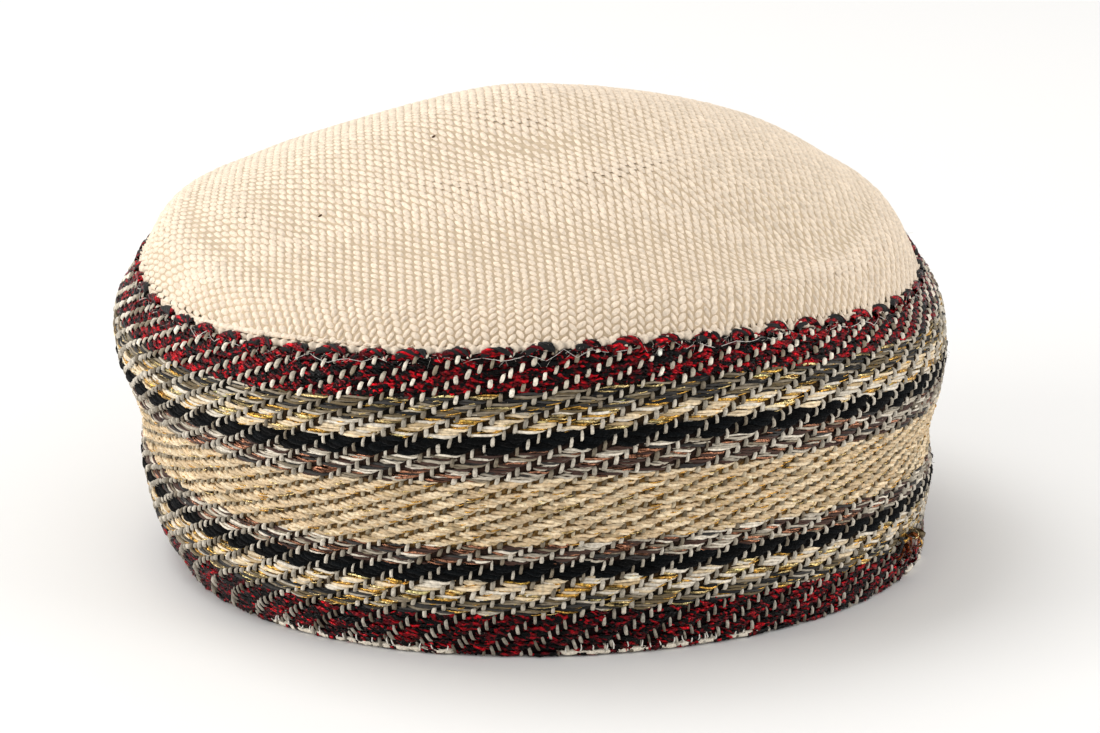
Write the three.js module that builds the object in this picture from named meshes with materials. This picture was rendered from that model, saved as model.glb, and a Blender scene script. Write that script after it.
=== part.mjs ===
// Round soft skullcap: a domed cream cloth crown, a woven striped side band that bulges
// at its top, and a cream facing strip inside the hem.
// Millimetres, +Z up, front of the cap towards -Y, hem standing on z = 0.
import * as THREE from "three";

// Driving dimensions
const BAND_THICKNESS = 2.6;
const CROWN_THICKNESS = 1.9;
const FACING_THICKNESS = 1.3;
const FACING_HEIGHT = 13;
const LAYER_GAP = 0.3;
const SEAM_HEIGHT = 66.8;
const SEAM_LIP = 0.8;
const HEM_ROUND = 1.2;

// Under this height the waves fade out, so that the hem lies flat
const FLOOR_BLEND_HEIGHT = 15;

// Sections of the band, from the hem to the crown seam. Each row gives the mean radius at
// a height, the middle's shift, the oval and skewed parts of the radius, and how far the
// section tilts to the wearer's side and lifts at front and back.
const BAND_SECTIONS = [
  { height: 0.0, radius: 82.0, shiftX: 4.3, shiftY: -2.3, oval: -1.9, skew: -1.0, tilt: 0.0, saddle: 0.0 },
  { height: 6.3, radius: 84.6, shiftX: 1.7, shiftY: -1.3, oval: -1.5, skew: -0.2, tilt: -0.5, saddle: -0.2 },
  { height: 20.2, radius: 87.2, shiftX: 0.5, shiftY: -0.8, oval: -1.5, skew: 0.3, tilt: -0.7, saddle: -0.3 },
  { height: 30.8, radius: 88.3, shiftX: 0.2, shiftY: -0.7, oval: -0.1, skew: 0.4, tilt: -0.4, saddle: 0.3 },
  { height: 41.1, radius: 90.7, shiftX: 0.1, shiftY: -0.7, oval: -0.3, skew: 0.2, tilt: 0.2, saddle: 1.1 },
  { height: 48.5, radius: 92.0, shiftX: -0.5, shiftY: -0.6, oval: -0.4, skew: 0.0, tilt: 0.8, saddle: 1.9 },
  { height: 59.0, radius: 91.5, shiftX: -1.3, shiftY: -0.4, oval: -0.2, skew: -0.5, tilt: 1.1, saddle: 1.7 },
  { height: 66.8, radius: 88.2, shiftX: -1.1, shiftY: -0.2, oval: 1.2, skew: 0.1, tilt: 0.2, saddle: 2.3 },
];

// Slow waves round the soft band: how many lobes, how far they lift the rows and where,
// and how far they swell the radius and where, in degrees from the front.
const BAND_WAVES = [
  { lobes: 3, lift: 1.05, liftAt: 60, swell: 0.97, swellAt: 239 },
  { lobes: 4, lift: 0.47, liftAt: 71, swell: 0, swellAt: 0 },
  { lobes: 5, lift: 0.25, liftAt: 236, swell: 0, swellAt: 0 },
];

// Profile of the crown from its top to its rim, as heights over the seam along the four
// sides of the cap.
const CROWN_SECTIONS = [
  { reach: 0.0, front: 35.5, right: 35.5, back: 35.5, left: 35.5 },
  { reach: 0.12, front: 33.0, right: 34.8, back: 34.3, left: 34.1 },
  { reach: 0.3, front: 26.2, right: 33.2, back: 31.0, left: 30.6 },
  { reach: 0.5, front: 21.3, right: 29.7, back: 25.1, left: 25.3 },
  { reach: 0.7, front: 13.8, right: 23.5, back: 18.3, left: 18.9 },
  { reach: 0.85, front: 9.3, right: 15.4, back: 12.3, left: 13.4 },
  { reach: 0.95, front: 5.4, right: 8.8, back: 5.3, left: 8.4 },
  { reach: 1.0, front: 0.0, right: 0.0, back: 0.0, left: 0.0 },
];

// Soft dents of the crown cloth: the middle of each, its half length and half width, the
// turn of its long side from +X, and how deep it is. A fold that stands up is negative.
const CROWN_DENTS = [
  { name: "right front hollow", x: 56, y: -45, length: 17, width: 9, turn: 38, depth: 3.0 },
  { name: "middle front step", x: 12, y: -33, length: 26, width: 7, turn: 6, depth: -1.4 },
  { name: "left front fold", x: -62, y: -30, length: 14, width: 3.5, turn: -68, depth: -1.0 },
  { name: "top crease", x: 8, y: -6, length: 14, width: 5, turn: -20, depth: 0.9 },
  { name: "back sag", x: -8, y: 44, length: 24, width: 10, turn: 4, depth: 1.2 },
];

// Where the crown's dents fade out, and where its cloth goes in under the band's edge
const DENT_FADE_REACH = 0.8;
const RIM_REACH = 1 - (BAND_THICKNESS + LAYER_GAP) / BAND_SECTIONS[BAND_SECTIONS.length - 1].radius;

// Facets round the cap, and the reaches and heights of its rings
const SIDES = 72;
const CROWN_REACHES = [0.07, 0.15, 0.25, 0.36, 0.48, 0.6, 0.71, 0.8, 0.87, 0.92, RIM_REACH];
const BAND_HEIGHTS = [HEM_ROUND, 6.3, 13, 20.2, 27, 34, 41.1, 48.5, 54, 59, 63.5];
const ALLOWANCE_HEIGHTS = BAND_HEIGHTS.slice(-2).reverse();

// A smooth curve through one column of a table, level where it starts and with its other
// tangents taken from the neighbours.
function columnAt(rows, key, column, at) {
  const last = rows.length - 1;
  let i = 0;
  while (i < last - 1 && at >= rows[i + 1][key]) {
    i += 1;
  }
  const slopeAt = (k) => {
    if (k === 0) {
      return 0;
    }
    if (k === last) {
      return (rows[last][column] - rows[last - 1][column]) / (rows[last][key] - rows[last - 1][key]);
    }
    const before = rows[k][key] - rows[k - 1][key];
    const after = rows[k + 1][key] - rows[k][key];
    const slopeBefore = (rows[k][column] - rows[k - 1][column]) / before;
    const slopeAfter = (rows[k + 1][column] - rows[k][column]) / after;
    return (slopeBefore * after + slopeAfter * before) / (before + after);
  };
  const span = rows[i + 1][key] - rows[i][key];
  const t = (at - rows[i][key]) / span;
  const t2 = t * t;
  const t3 = t2 * t;
  return (
    (2 * t3 - 3 * t2 + 1) * rows[i][column] +
    (t3 - 2 * t2 + t) * span * slopeAt(i) +
    (3 * t2 - 2 * t3) * rows[i + 1][column] +
    (t3 - t2) * span * slopeAt(i + 1)
  );
}

// A point of the band's outer face, set in by some depth, at an angle from the front.
function bandPoint(angle, height, depth) {
  const at = (column) => columnAt(BAND_SECTIONS, "height", column, height);
  let radius = at("radius") + at("oval") * Math.cos(2 * angle) + at("skew") * Math.sin(2 * angle);
  let z = height + at("tilt") * Math.sin(angle) + at("saddle") * Math.cos(2 * angle);
  const offFloor = Math.min(1, height / FLOOR_BLEND_HEIGHT);
  for (const wave of BAND_WAVES) {
    const liftAngle = wave.lobes * angle - THREE.MathUtils.degToRad(wave.liftAt);
    const swellAngle = wave.lobes * angle - THREE.MathUtils.degToRad(wave.swellAt);
    z += offFloor * wave.lift * Math.cos(liftAngle);
    radius += wave.swell * Math.cos(swellAngle);
  }
  const x = at("shiftX") + (radius - depth) * Math.sin(angle);
  const y = at("shiftY") - (radius - depth) * Math.cos(angle);
  return new THREE.Vector3(x, y, z);
}

function dentDepth(x, y) {
  let depth = 0;
  for (const dent of CROWN_DENTS) {
    const turn = THREE.MathUtils.degToRad(dent.turn);
    const along = (x - dent.x) * Math.cos(turn) + (y - dent.y) * Math.sin(turn);
    const across = (y - dent.y) * Math.cos(turn) - (x - dent.x) * Math.sin(turn);
    depth += dent.depth * Math.exp(-((along / dent.length) ** 2) - (across / dent.width) ** 2);
  }
  return depth;
}

// A point of the crown's outer face: reach is 0 at the top and 1 at the seam.
function crownPoint(angle, reach) {
  const seam = bandPoint(angle, SEAM_HEIGHT, 0);
  const at = (column) => columnAt(CROWN_SECTIONS, "reach", column, reach);
  const front = Math.max(0, Math.cos(angle)) ** 2;
  const back = Math.max(0, -Math.cos(angle)) ** 2;
  const right = Math.max(0, Math.sin(angle)) ** 2;
  const left = Math.max(0, -Math.sin(angle)) ** 2;
  const rise = at("front") * front + at("back") * back + at("right") * right + at("left") * left;
  const x = seam.x * reach;
  const y = seam.y * reach;
  const dented = dentDepth(x, y) * THREE.MathUtils.smoothstep(1 - reach, 0, 1 - DENT_FADE_REACH);
  const z = SEAM_HEIGHT + (seam.z - SEAM_HEIGHT) * reach + rise - dented;
  return new THREE.Vector3(x, y, z);
}

// The crown's inner face lies one cloth thickness inside the outer one.
function crownInnerPoint(angle, reach) {
  const outer = crownPoint(angle, reach);
  const across = Math.hypot(outer.x, outer.y);
  const inward = 1 - (CROWN_THICKNESS * reach) / Math.max(across, CROWN_THICKNESS);
  const down = CROWN_THICKNESS * (1 - reach ** 4);
  return new THREE.Vector3(outer.x * inward, outer.y * inward, outer.z - down);
}

// A point on the sloping top edge of the band, or just inside it.
function topEdgePoint(angle, depth) {
  const point = bandPoint(angle, SEAM_HEIGHT, depth);
  point.z += (SEAM_LIP * Math.min(depth, BAND_THICKNESS)) / BAND_THICKNESS;
  return point;
}

function ring(pointAt) {
  const points = [];
  for (let i = 0; i < SIDES; i += 1) {
    points.push(pointAt((2 * Math.PI * i) / SIDES));
  }
  return points;
}

// A closed body from a loop of rings. Where a face runs to the middle, a cap point closes
// its first or last ring, and otherwise the last ring joins the first.
function ringBody(rings, startCap, endCap) {
  const positions = [];
  const index = [];
  const add = (point) => {
    positions.push(point.x, point.y, point.z);
    return positions.length / 3 - 1;
  };
  const numbers = rings.map((points) => points.map(add));
  const joins = startCap ? rings.length - 1 : rings.length;
  for (let k = 0; k < joins; k += 1) {
    const lower = numbers[k];
    const upper = numbers[(k + 1) % rings.length];
    for (let i = 0; i < SIDES; i += 1) {
      const next = (i + 1) % SIDES;
      index.push(lower[i], lower[next], upper[next], lower[i], upper[next], upper[i]);
    }
  }
  if (startCap) {
    const first = add(startCap);
    const last = add(endCap);
    for (let i = 0; i < SIDES; i += 1) {
      const next = (i + 1) % SIDES;
      index.push(first, numbers[0][next], numbers[0][i]);
      index.push(last, numbers[rings.length - 1][i], numbers[rings.length - 1][next]);
    }
  }
  const geometry = new THREE.BufferGeometry();
  geometry.setAttribute("position", new THREE.Float32BufferAttribute(positions, 3));
  geometry.setIndex(index);
  geometry.computeVertexNormals();
  return geometry;
}

// The band: up the outer face from a slightly rounded, flat-bottomed hem, over the top
// edge and down the inner face.
function bandGeometry() {
  const rings = [ring((a) => bandPoint(a, 0, HEM_ROUND))];
  for (const height of BAND_HEIGHTS) {
    rings.push(ring((a) => bandPoint(a, height, 0)));
  }
  rings.push(ring((a) => topEdgePoint(a, 0)));
  rings.push(ring((a) => topEdgePoint(a, BAND_THICKNESS)));
  for (const height of BAND_HEIGHTS.slice(1).reverse()) {
    rings.push(ring((a) => bandPoint(a, height, BAND_THICKNESS)));
  }
  rings.push(ring((a) => bandPoint(a, 0, BAND_THICKNESS)));
  return ringBody(rings);
}

// The facing: a flat strip of cloth against the inner face of the band, level with the hem.
function facingGeometry() {
  const outerDepth = BAND_THICKNESS + LAYER_GAP;
  const innerDepth = outerDepth + FACING_THICKNESS;
  const heights = [0, BAND_HEIGHTS[1], FACING_HEIGHT];
  const rings = heights.map((height) => ring((a) => bandPoint(a, height, outerDepth)));
  for (const height of [...heights].reverse()) {
    rings.push(ring((a) => bandPoint(a, height, innerDepth)));
  }
  return ringBody(rings);
}

// The crown: from the top over the dome to the rim, down inside the band as a seam
// allowance, and back up the inner face.
function crownGeometry() {
  const outerDepth = BAND_THICKNESS + LAYER_GAP;
  const innerDepth = outerDepth + CROWN_THICKNESS;
  const rings = CROWN_REACHES.map((reach) => ring((a) => crownPoint(a, reach)));
  rings.push(ring((a) => topEdgePoint(a, outerDepth)));
  for (const height of ALLOWANCE_HEIGHTS) {
    rings.push(ring((a) => bandPoint(a, height, outerDepth)));
  }
  for (const height of [...ALLOWANCE_HEIGHTS].reverse()) {
    rings.push(ring((a) => bandPoint(a, height, innerDepth)));
  }
  for (const reach of [...CROWN_REACHES].reverse()) {
    rings.push(ring((a) => crownInnerPoint(a, reach)));
  }
  rings.reverse();
  const top = crownPoint(0, 0);
  const under = new THREE.Vector3(top.x, top.y, top.z - CROWN_THICKNESS);
  return ringBody(rings, under, top);
}

function piece(name, geometry, colour, roughness) {
  const material = new THREE.MeshStandardMaterial({ color: colour, roughness, metalness: 0 });
  const mesh = new THREE.Mesh(geometry, material);
  mesh.name = name;
  return mesh;
}

const group = new THREE.Group();
group.name = "skullcap";
group.add(piece("crown", crownGeometry(), 0xf0e6cf, 0.9));
group.add(piece("band", bandGeometry(), 0x8c6f55, 0.75));
group.add(piece("hem_facing", facingGeometry(), 0xe9e0cb, 0.9));

export default group;
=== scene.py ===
"""Woven skullcap. A striped twill band made of floats of many yarns, a cream crown whose yarns lie
in slanting rows, a cream facing inside the hem, and the loops, stitches and loose ends that show.
Lengths in the tables are millimetres. Angle 0 is the front (-Y) and turns towards +X."""

import math

import bpy
import numpy as np
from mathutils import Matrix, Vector


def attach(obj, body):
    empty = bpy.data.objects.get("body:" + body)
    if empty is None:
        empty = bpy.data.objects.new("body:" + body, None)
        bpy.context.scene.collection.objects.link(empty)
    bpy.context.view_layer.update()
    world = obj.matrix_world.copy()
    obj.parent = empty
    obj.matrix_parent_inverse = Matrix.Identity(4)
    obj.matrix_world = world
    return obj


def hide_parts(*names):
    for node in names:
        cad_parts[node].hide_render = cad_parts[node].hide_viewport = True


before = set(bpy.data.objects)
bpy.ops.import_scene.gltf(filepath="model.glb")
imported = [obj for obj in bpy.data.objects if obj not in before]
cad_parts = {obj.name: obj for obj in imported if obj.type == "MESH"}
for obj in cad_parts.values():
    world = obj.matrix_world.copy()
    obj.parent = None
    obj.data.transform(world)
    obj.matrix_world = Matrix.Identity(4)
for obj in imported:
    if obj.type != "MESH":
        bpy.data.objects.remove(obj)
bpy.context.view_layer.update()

MM = 0.001
TURN = 2 * math.pi
rng = np.random.default_rng(11)

# The shape of the cap, with the same named sizes as the CAD source.
SEAM_HEIGHT = 66.8
FLOOR_BLEND_HEIGHT = 15
CROWN_THICKNESS = 1.9
DENT_FADE_REACH = 0.8
# the band's mean radius near the hem, half way up and at the seam, for turning lengths into angles
HEM_RADIUS = 85
BAND_RADIUS = 90
SEAM_RADIUS = 89
BAND_COLUMNS = ("height", "radius", "shift_x", "shift_y", "oval", "skew", "tilt", "saddle")
BAND_SECTIONS = (
    (0.0, 82.0, 4.3, -2.3, -1.9, -1.0, 0.0, 0.0),
    (6.3, 84.6, 1.7, -1.3, -1.5, -0.2, -0.5, -0.2),
    (20.2, 87.2, 0.5, -0.8, -1.5, 0.3, -0.7, -0.3),
    (30.8, 88.3, 0.2, -0.7, -0.1, 0.4, -0.4, 0.3),
    (41.1, 90.7, 0.1, -0.7, -0.3, 0.2, 0.2, 1.1),
    (48.5, 92.0, -0.5, -0.6, -0.4, 0.0, 0.8, 1.9),
    (59.0, 91.5, -1.3, -0.4, -0.2, -0.5, 1.1, 1.7),
    (66.8, 88.2, -1.1, -0.2, 1.2, 0.1, 0.2, 2.3),
)
# lobes round the band, how much they lift it and at what angle, how much they swell it and where
BAND_WAVES = (
    (3, 1.05, 60, 0.97, 239),
    (4, 0.47, 71, 0.0, 0),
    (5, 0.25, 236, 0.0, 0),
)
# reach from the middle to the seam, from 0 to 1, and the rise there at the front, right, back and left
CROWN_SECTIONS = (
    (0.0, 35.5, 35.5, 35.5, 35.5),
    (0.12, 33.0, 34.8, 34.3, 34.1),
    (0.3, 26.2, 33.2, 31.0, 30.6),
    (0.5, 21.3, 29.7, 25.1, 25.3),
    (0.7, 13.8, 23.5, 18.3, 18.9),
    (0.85, 9.3, 15.4, 12.3, 13.4),
    (0.95, 5.4, 8.8, 5.3, 8.4),
    (1.0, 0.0, 0.0, 0.0, 0.0),
)
# x, y, length, width, turn in degrees, depth
CROWN_DENTS = (
    (56, -45, 17, 9, 38, 3.0),
    (12, -33, 26, 7, 6, -1.4),
    (-62, -30, 14, 3.5, -68, -1.0),
    (8, -6, 14, 5, -20, 0.9),
    (-8, 44, 24, 10, 4, 1.2),
)


def column_at(sections, column, x):
    """A smooth curve through one column of a table of sections, level at its first row."""
    table = np.array(sections, dtype=float)
    xs, ys = table[:, 0], table[:, column]
    slope = np.gradient(ys, xs)
    slope[0] = 0
    row = np.clip(np.searchsorted(xs, x, side="right") - 1, 0, len(xs) - 2)
    gap = xs[row + 1] - xs[row]
    t = np.clip((x - xs[row]) / gap, 0, 1)
    return (
        (1 + 2 * t) * (1 - t) ** 2 * ys[row]
        + t * (1 - t) ** 2 * gap * slope[row]
        + t * t * (3 - 2 * t) * ys[row + 1]
        + t * t * (t - 1) * gap * slope[row + 1]
    )


def band_point(angle, height, depth=0.0):
    """A point of the band: depth is how far it lies inside the outer face."""
    angle, height = np.broadcast_arrays(np.asarray(angle, float), np.asarray(height, float))
    get = {name: column_at(BAND_SECTIONS, i, height) for i, name in enumerate(BAND_COLUMNS) if i}
    radius = get["radius"] + get["oval"] * np.cos(2 * angle) + get["skew"] * np.sin(2 * angle)
    lift = np.zeros_like(angle)
    for lobes, lift_by, lift_at, swell_by, swell_at in BAND_WAVES:
        lift = lift + lift_by * np.cos(lobes * angle - math.radians(lift_at))
        radius = radius + swell_by * np.cos(lobes * angle - math.radians(swell_at))
    radius = radius - depth
    z = height + get["tilt"] * np.sin(angle) + get["saddle"] * np.cos(2 * angle)
    z = z + np.minimum(1, np.maximum(height, 0) / FLOOR_BLEND_HEIGHT) * lift
    x = get["shift_x"] + radius * np.sin(angle)
    y = get["shift_y"] - radius * np.cos(angle)
    return np.stack([x, y, z], -1)


def unit(v):
    """The vectors with their length made one."""
    return v / np.maximum(np.linalg.norm(v, axis=-1, keepdims=True), 1e-9)


def band_frame(angle, height, depth=0.0):
    """The point, the direction round the band, the direction up it, and the outward one."""
    step = 0.004
    low, high = np.clip(height - 0.3, 0, SEAM_HEIGHT), np.clip(height + 0.3, 0, SEAM_HEIGHT)
    here = band_point(angle, height, depth)
    round_it = unit(band_point(angle + step, height) - band_point(angle - step, height))
    up_it = unit(band_point(angle, high) - band_point(angle, low))
    out = unit(np.cross(round_it, up_it))
    return here, round_it, up_it, out


SEAM_ANGLES = np.linspace(-math.pi, math.pi, 1441)
SEAM_POINTS = band_point(SEAM_ANGLES, np.full(1441, SEAM_HEIGHT))
SEAM_BEARINGS = np.unwrap(np.arctan2(SEAM_POINTS[:, 0], -SEAM_POINTS[:, 1]))


def smoothstep(x, low, high):
    """Rises smoothly from 0 at low to 1 at high."""
    t = np.clip((x - low) / (high - low), 0, 1)
    return t * t * (3 - 2 * t)


def crown_height(x, y):
    """The height of the crown's outer face over a point of the plan, and its reach from the top."""
    bearing = np.arctan2(x, -y)
    bearing = np.where(bearing < SEAM_BEARINGS[0], bearing + TURN, bearing)
    bearing = np.where(bearing > SEAM_BEARINGS[-1], bearing - TURN, bearing)
    angle = np.interp(bearing, SEAM_BEARINGS, SEAM_ANGLES)
    seam = band_point(angle, np.full_like(angle, SEAM_HEIGHT))
    reach = np.hypot(x, y) / np.hypot(seam[..., 0], seam[..., 1])
    inside = np.clip(reach, 0, 1)
    rise = np.zeros_like(reach)
    shares = (
        np.maximum(0, np.cos(angle)) ** 2,
        np.maximum(0, np.sin(angle)) ** 2,
        np.maximum(0, -np.cos(angle)) ** 2,
        np.maximum(0, -np.sin(angle)) ** 2,
    )
    for column, share in enumerate(shares, start=1):
        rise = rise + share * column_at(CROWN_SECTIONS, column, inside)
    dent = np.zeros_like(reach)
    for cx, cy, length, width, turn, depth in CROWN_DENTS:
        c, s = math.cos(math.radians(turn)), math.sin(math.radians(turn))
        along = ((x - cx) * c + (y - cy) * s) / length
        across = (-(x - cx) * s + (y - cy) * c) / width
        dent = dent + depth * np.exp(-0.5 * (along**2 + across**2))
    fade = smoothstep(1 - inside, 0, 1 - DENT_FADE_REACH)
    return SEAM_HEIGHT + (seam[..., 2] - SEAM_HEIGHT) * inside + rise - dent * fade, reach


def crown_frame(x, y, lift=0.0):
    """A point over the crown, and the directions to the right, to the back and outward there."""
    step = 0.4
    z, reach = crown_height(x, y)
    slope_x = (crown_height(x + step, y)[0] - crown_height(x - step, y)[0]) / (2 * step)
    slope_y = (crown_height(x, y + step)[0] - crown_height(x, y - step)[0]) / (2 * step)
    one, none = np.ones_like(x), np.zeros_like(x)
    right = unit(np.stack([one, none, slope_x], -1))
    back = unit(np.stack([none, one, slope_y], -1))
    out = unit(np.cross(right, back))
    here = np.stack([x, y, z], -1) + out * np.asarray(lift)[..., None]
    return here, right, back, out, reach


def wander(angle, height, seed):
    """A slow unevenness round the band, from -1 to 1."""
    waves = (5, 11, 23)
    total = [np.sin(n * angle + 0.09 * height * (i + 1) + seed * (i + 2.3)) for i, n in enumerate(waves)]
    return sum(total) / len(waves)


def linear(colour):
    """From the colour as it looks on a screen to the amounts of light."""
    c = np.asarray(colour, float)
    return np.where(c <= 0.04045, c / 12.92, ((c + 0.055) / 1.055) ** 2.4)


# Materials. Each yarn takes its colour from the attribute "tint", and its fibres from noise.


def node(tree, kind, inputs=(), **settings):
    """A node with its settings, and each input linked or set."""
    n = tree.nodes.new(kind)
    for name, value in settings.items():
        setattr(n, name, value)
    for name, value in dict(inputs).items():
        if isinstance(value, bpy.types.NodeSocket):
            tree.links.new(value, n.inputs[name])
        else:
            n.inputs[name].default_value = value
    return n


def ramp(tree, source, stops, mode="LINEAR"):
    """A colour ramp over stops of position and screen colour."""
    n = tree.nodes.new("ShaderNodeValToRGB")
    n.color_ramp.interpolation = mode
    elements = n.color_ramp.elements
    while len(elements) < len(stops):
        elements.new(0.5)
    for element, (position, colour) in zip(elements, stops):
        element.position = position
        element.color = (*linear(colour), 1)
    tree.links.new(source, n.inputs[0])
    return n.outputs[0]


def grey(low, high, start=0.0, end=1.0):
    """Two grey stops for a ramp."""
    return ((start, (low,) * 3), (end, (high,) * 3))


def calculate(tree, operation, *inputs):
    """The result of a maths node on one or two inputs."""
    return node(tree, "ShaderNodeMath", dict(enumerate(inputs)), operation=operation).outputs[0]


def own_place(tree, scale=None):
    """The place in the object, with its axes scaled."""
    place = node(tree, "ShaderNodeTexCoord").outputs["Object"]
    if scale:
        place = node(tree, "ShaderNodeMapping", {"Vector": place, "Scale": scale}).outputs[0]
    return place


def noise(tree, scale, detail, axes=None):
    """Noise fixed to the object."""
    inputs = {"Vector": own_place(tree, axes), "Scale": scale, "Detail": detail}
    return node(tree, "ShaderNodeTexNoise", inputs).outputs["Fac"]


def own_tint(tree):
    """The colour that each vertex of the mesh keeps."""
    return node(tree, "ShaderNodeAttribute", attribute_name="tint").outputs["Color"]


def weave_place(tree):
    """The angle round the cap and the height up it that a lofted cloth keeps at its corners."""
    weave = node(tree, "ShaderNodeAttribute", attribute_name="weave").outputs["Vector"]
    parts = node(tree, "ShaderNodeSeparateXYZ", {"Vector": weave})
    return parts.outputs["X"], parts.outputs["Y"]


def dress(tree, shader, colour, rough, relief, strength, depth):
    """Links a colour, a roughness and a relief of so many millimetres to the shader."""
    bump = node(tree, "ShaderNodeBump", {"Height": relief, "Strength": strength, "Distance": depth * MM})
    tree.links.new(colour, shader.inputs["Base Color"])
    tree.links.new(rough, shader.inputs["Roughness"])
    tree.links.new(bump.outputs[0], shader.inputs["Normal"])


def material(name):
    """A new material, its node tree and its shader."""
    m = bpy.data.materials.new(name)
    m.use_nodes = True
    tree = m.node_tree
    shader = tree.nodes["Principled BSDF"]
    return m, tree, shader


def multiply(tree, a, b):
    """Two colours multiplied."""
    n = tree.nodes.new("ShaderNodeMix")
    n.data_type = "RGBA"
    n.blend_type = "MULTIPLY"
    n.inputs["Factor"].default_value = 1.0
    tree.links.new(a, n.inputs["A"])
    tree.links.new(b, n.inputs["B"])
    return n.outputs["Result"]


def yarn(name, rough, fibre_scale, fibre_depth, shade, metallic=0.0, sheen=0.0, specular=0.5, beads=0.0):
    """The material of a yarn. rough is its lowest and highest roughness, fibre_scale how fine its
    fibres are, fibre_depth how far they stand up, and shade how dark and light they come: their uneven tone,
    painted darker where their relief sinks, as shade. With beads it is plied from a dyed and a black thread,
    which come up in turn as beads of that fineness, each painted darker towards its edge as shade between
    beads."""
    m, tree, shader = material(name)
    relief = noise(tree, fibre_scale, 3.0)
    # painted shade: the fibres' colour darkens where their relief is low
    colour = multiply(tree, own_tint(tree), ramp(tree, relief, grey(*shade, start=0.3, end=0.62)))
    if beads:
        place = own_place(tree, (1.0, 1.0, 1.6))
        bead = node(tree, "ShaderNodeTexVoronoi", {"Vector": place, "Scale": beads})
        draw = node(tree, "ShaderNodeSeparateColor", {"Color": bead.outputs["Color"]}).outputs["Red"]
        dyed = ramp(tree, draw, grey(0.12, 1.0, start=0.26, end=0.34))
        # painted shade: each bead is darkened towards its edge, in the hollows between beads
        bead_edge_shade = ramp(tree, bead.outputs["Distance"], grey(1.0, 0.5, start=0.3, end=0.8))
        colour = multiply(tree, multiply(tree, colour, dyed), bead_edge_shade)
        relief = calculate(tree, "SUBTRACT", relief, bead.outputs["Distance"])
    blotches = noise(tree, fibre_scale / 6, 2.0)
    limits = {"From Min": 0.3, "From Max": 0.7, "To Min": rough[0], "To Max": rough[1]}
    roughness = node(tree, "ShaderNodeMapRange", {"Value": blotches, **limits}).outputs[0]
    dress(tree, shader, colour, roughness, relief, 1.0, fibre_depth)
    shader.inputs["Metallic"].default_value = metallic
    shader.inputs["Specular IOR Level"].default_value = specular
    shader.inputs["Sheen Weight"].default_value = sheen
    shader.inputs["Sheen Roughness"].default_value = 0.5
    return m


SILK, WOOL, METAL, COTTON, WARP = range(5)
YARNS = [
    yarn("yarn_silk", (0.18, 0.34), 1300, 0.24, (0.7, 1.0), metallic=0.45, specular=0.2, beads=980),
    yarn("yarn_wool", (0.85, 1.0), 1900, 0.4, (0.25, 1.0), sheen=0.03, specular=0.08),
    yarn("yarn_metal", (0.16, 0.36), 1700, 0.40, (0.45, 1.0), metallic=1.0),
    yarn("yarn_cotton", (0.55, 0.8), 1300, 0.10, (0.80, 1.0), sheen=0.05, specular=0.3),
    yarn("yarn_warp", (0.42, 0.62), 1600, 0.12, (0.74, 1.0), specular=0.35),
]

COLOURS = {
    "crimson": (0.72, 0.01, 0.10),
    # bright red is partly the silk's uneven dye and partly painted highlight on it
    "bright red": (0.92, 0.02, 0.12),
    "dark red": (0.46, 0.02, 0.09),
    "black": (0.02, 0.02, 0.028),
    "blue black": (0.03, 0.045, 0.055),
    "charcoal": (0.20, 0.19, 0.18),
    "olive": (0.42, 0.36, 0.25),
    "grey": (0.55, 0.50, 0.42),
    "light grey": (0.75, 0.71, 0.64),
    "white": (0.91, 0.87, 0.80),
    "cream": (0.935, 0.85, 0.71),
    "ecru": (0.865, 0.762, 0.61),
    "tan": (0.76, 0.66, 0.50),
    "gold": (0.98, 0.76, 0.38),
    "pale gold": (0.99, 0.88, 0.62),
    "copper": (0.78, 0.55, 0.43),
    "brown": (0.27, 0.17, 0.13),
    "umber": (0.42, 0.20, 0.09),
    "rust": (0.62, 0.34, 0.15),
}


def palette(*rows):
    """Rows of material, colour and share, as arrays."""
    kinds = np.array([kind for kind, _, _ in rows])
    colours = np.array([linear(COLOURS[name]) for _, name, _ in rows])
    shares = np.array([share for _, _, share in rows], float)
    return kinds, colours, shares / shares.sum()


RED = palette(
    (SILK, "crimson", 31), (SILK, "bright red", 9), (SILK, "dark red", 17), (SILK, "black", 43)
)
# the lower red stripe: the same silks with more black and less bright red than RED, darkened as painted
# shade low on the band
LOW_RED_SHADED = palette(
    (SILK, "crimson", 26), (SILK, "bright red", 5), (SILK, "dark red", 21), (SILK, "black", 48)
)
LOOP = palette(
    (SILK, "crimson", 26), (SILK, "bright red", 10), (SILK, "dark red", 20), (COTTON, "black", 44)
)
OLIVE = palette(
    (COTTON, "charcoal", 18), (COTTON, "black", 16), (COTTON, "olive", 20), (COTTON, "grey", 18),
    (COTTON, "light grey", 10), (METAL, "gold", 9), (METAL, "pale gold", 9)
)
CREAM = palette(
    (COTTON, "white", 32), (COTTON, "cream", 32), (METAL, "gold", 20), (METAL, "pale gold", 10),
    (COTTON, "tan", 6)
)
BLACK = palette((WOOL, "blue black", 1), (WOOL, "black", 1))
COPPER = palette(
    (COTTON, "light grey", 18), (COTTON, "white", 12), (METAL, "copper", 24), (COTTON, "brown", 28),
    (COTTON, "charcoal", 10), (COTTON, "grey", 8)
)
CENTRE = palette((COTTON, "ecru", 60), (COTTON, "cream", 34), (COTTON, "tan", 6))
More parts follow.
